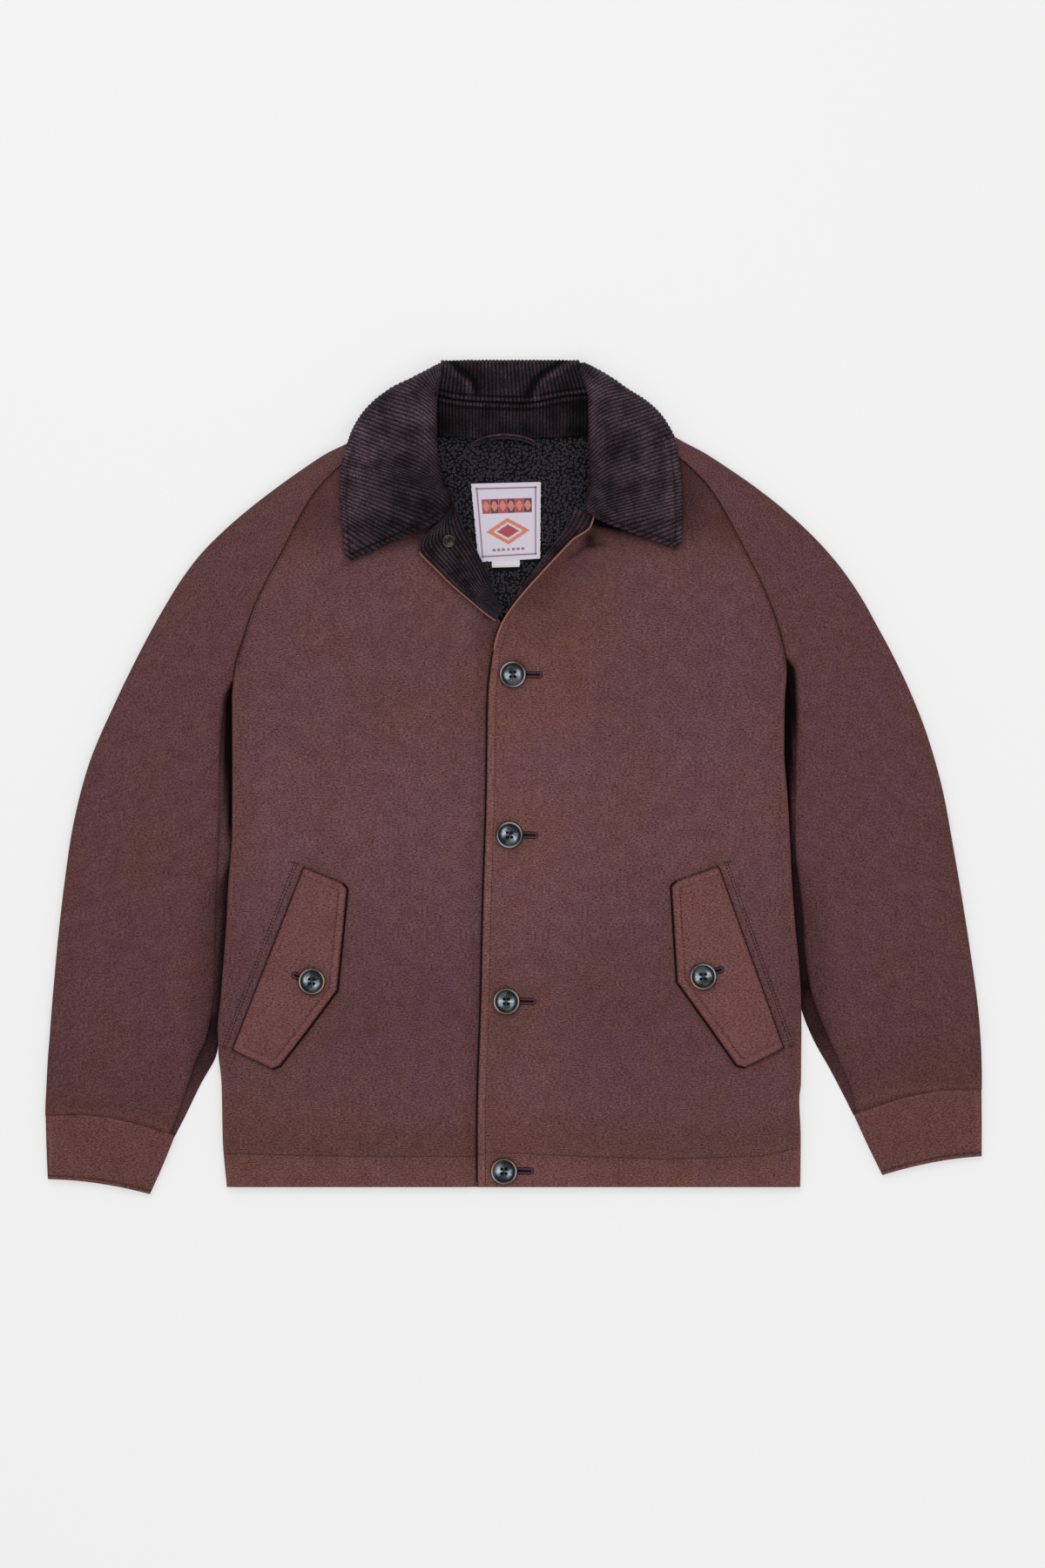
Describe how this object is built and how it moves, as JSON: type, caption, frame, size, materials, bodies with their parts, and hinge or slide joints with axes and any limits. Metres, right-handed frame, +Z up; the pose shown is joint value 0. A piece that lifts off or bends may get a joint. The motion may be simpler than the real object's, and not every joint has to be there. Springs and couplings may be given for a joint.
{
  "type": "waxed cotton jacket",
  "caption": "Hip-length waxed cotton jacket with raglan sleeves, corduroy collar, slanted buttoned flap pockets, button front and pile lining, laid flat on its back.",
  "frame": {"origin": "centre of the coat's outline on the surface it lies on", "axes": "+X to the wearer's left, from cuff to cuff; +Y from the hem to the collar; +Z up from the surface, out of the coat's front"},
  "size_m": [0.8596, 0.766, 0.0266],
  "materials": {
    "waxed_cotton": "waxed, matt with a low sheen, burgundy brown",
    "waxed_cotton_trim": "waxed, matt with a low sheen, slightly redder burgundy brown",
    "corduroy": "ribbed cut pile, almost black plum",
    "pile_lining": "curly black pile",
    "woven_label": "woven, pale lilac white",
    "horn": "polished dark horn"
  },
  "bodies": {
    "root": {"back": "waxed_cotton", "back_lining": "pile_lining", "collar_fall_back": "corduroy", "collar_leaf_left": "corduroy", "collar_leaf_right": "corduroy", "collar_stand_back": "corduroy", "collar_stand_left": "corduroy", "collar_stand_right": "corduroy", "cuff_left": "waxed_cotton_trim", "cuff_right": "waxed_cotton_trim", "front_button_1": "horn", "front_button_2": "horn", "front_button_3": "horn", "front_button_4": "horn", "front_facing_left": "corduroy", "front_left": "waxed_cotton", "front_right": "waxed_cotton", "hanger_loop": "corduroy", "lapel_button": "horn", "lapel_facing_right": "corduroy", "neck_facing": "corduroy", "neck_label": "woven_label", "pocket_button_left": "horn", "pocket_button_right": "horn", "pocket_flap_left": "waxed_cotton_trim", "pocket_flap_right": "waxed_cotton_trim", "size_tab": "woven_label", "sleeve_under_left": "waxed_cotton", "sleeve_under_right": "waxed_cotton", "sleeve_upper_left": "waxed_cotton", "sleeve_upper_right": "waxed_cotton", "under_collar_left": "waxed_cotton", "under_collar_right": "waxed_cotton"}
  },
  "joints": []
}
